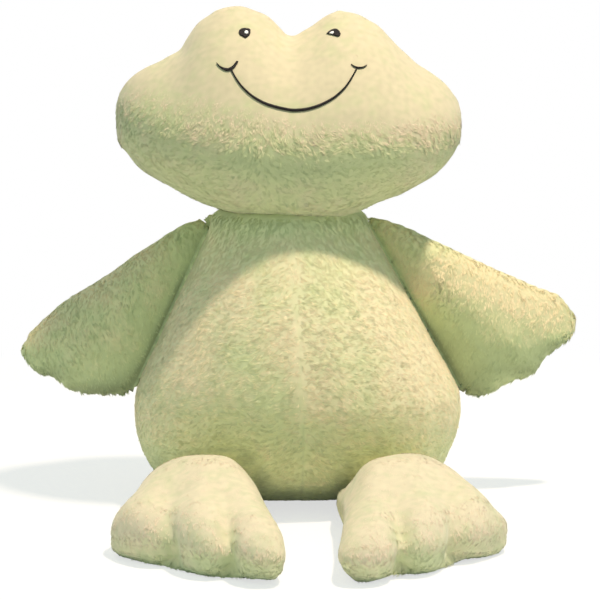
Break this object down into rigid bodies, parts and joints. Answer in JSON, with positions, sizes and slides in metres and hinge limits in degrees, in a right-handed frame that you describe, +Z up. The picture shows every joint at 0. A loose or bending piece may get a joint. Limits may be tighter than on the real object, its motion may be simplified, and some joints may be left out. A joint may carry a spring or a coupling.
{
  "type": "plush frog",
  "caption": "Sitting plush frog of short green fur fabric with stuffed head, arms and legs and an embroidered smile.",
  "frame": {"origin": "on the flat underside of the seat panel, below the middle of the body", "axes": "-Y is where the frog faces, +Z up, +X towards the viewer's right"},
  "size_m": [0.6307, 0.5178, 0.5459],
  "materials": {
    "pile_green": "short dense pile",
    "pile_pale_green": "short dense pile",
    "polyester_filling": "matt fibre",
    "dark_thread": "satin stitch",
    "light_thread": "satin stitch"
  },
  "bodies": {
    "body": {"body_filling": "polyester_filling", "belly_panel_left": "pile_pale_green", "belly_panel_right": "pile_pale_green", "back_panel_left": "pile_green", "back_panel_right": "pile_green", "seat_panel": "pile_green"},
    "neck": {"neck_filling": "polyester_filling"},
    "head": {"head_filling": "polyester_filling", "face_panel": "pile_pale_green", "chin_panel_left": "pile_green", "chin_panel_right": "pile_green", "head_back_panel_left": "pile_green", "head_back_panel_right": "pile_green", "smile_embroidery": "dark_thread", "cheek_stitch_left": "dark_thread", "cheek_stitch_right": "dark_thread", "eye_left": "dark_thread", "eye_right": "dark_thread", "eye_glint_left": "light_thread", "eye_glint_right": "light_thread"},
    "arm_left": {"arm_left_filling": "polyester_filling", "arm_left_front_panel": "pile_green", "arm_left_back_panel": "pile_green"},
    "arm_right": {"arm_right_filling": "polyester_filling", "arm_right_front_panel": "pile_green", "arm_right_back_panel": "pile_green"},
    "leg_left": {"leg_left_filling": "polyester_filling", "leg_left_top_panel": "pile_green", "leg_left_sole_panel": "pile_green"},
    "leg_right": {"leg_right_filling": "polyester_filling", "leg_right_top_panel": "pile_green", "leg_right_sole_panel": "pile_green"}
  },
  "joints": [
    {"name": "neck_turn", "type": "hinge", "parent": "body", "child": "neck", "pos_m": [-0.01, -0.00138, 0.262], "axis": [0, 0, 1], "range_deg": [-25, 25], "stiffness_Nm_per_rad": 1},
    {"name": "head_nod", "type": "hinge", "parent": "neck", "child": "head", "pos_m": [-0.01, -0.00138, 0.262], "axis": [1, 0, 0], "range_deg": [-12, 15], "stiffness_Nm_per_rad": 5},
    {"name": "shoulder_left", "type": "hinge", "parent": "body", "child": "arm_left", "pos_m": [-0.09588, 0, 0.31379], "axis": [0.4222, 0, 0.9065], "range_deg": [-25, 60], "stiffness_Nm_per_rad": 0.3},
    {"name": "shoulder_right", "type": "hinge", "parent": "body", "child": "arm_right", "pos_m": [0.07663, 0, 0.31391], "axis": [0.4858, 0, -0.8741], "range_deg": [-35, 50], "stiffness_Nm_per_rad": 0.3},
    {"name": "hip_left", "type": "hinge", "parent": "body", "child": "leg_left", "pos_m": [-0.10451, -0.0881, 0.029], "axis": [0.9397, -0.342, 0], "range_deg": [-8, 40], "stiffness_Nm_per_rad": 0.8},
    {"name": "hip_right", "type": "hinge", "parent": "body", "child": "leg_right", "pos_m": [0.09256, -0.092, 0.029], "axis": [0.9272, 0.3746, 0], "range_deg": [-8, 40], "stiffness_Nm_per_rad": 0.8}
  ]
}
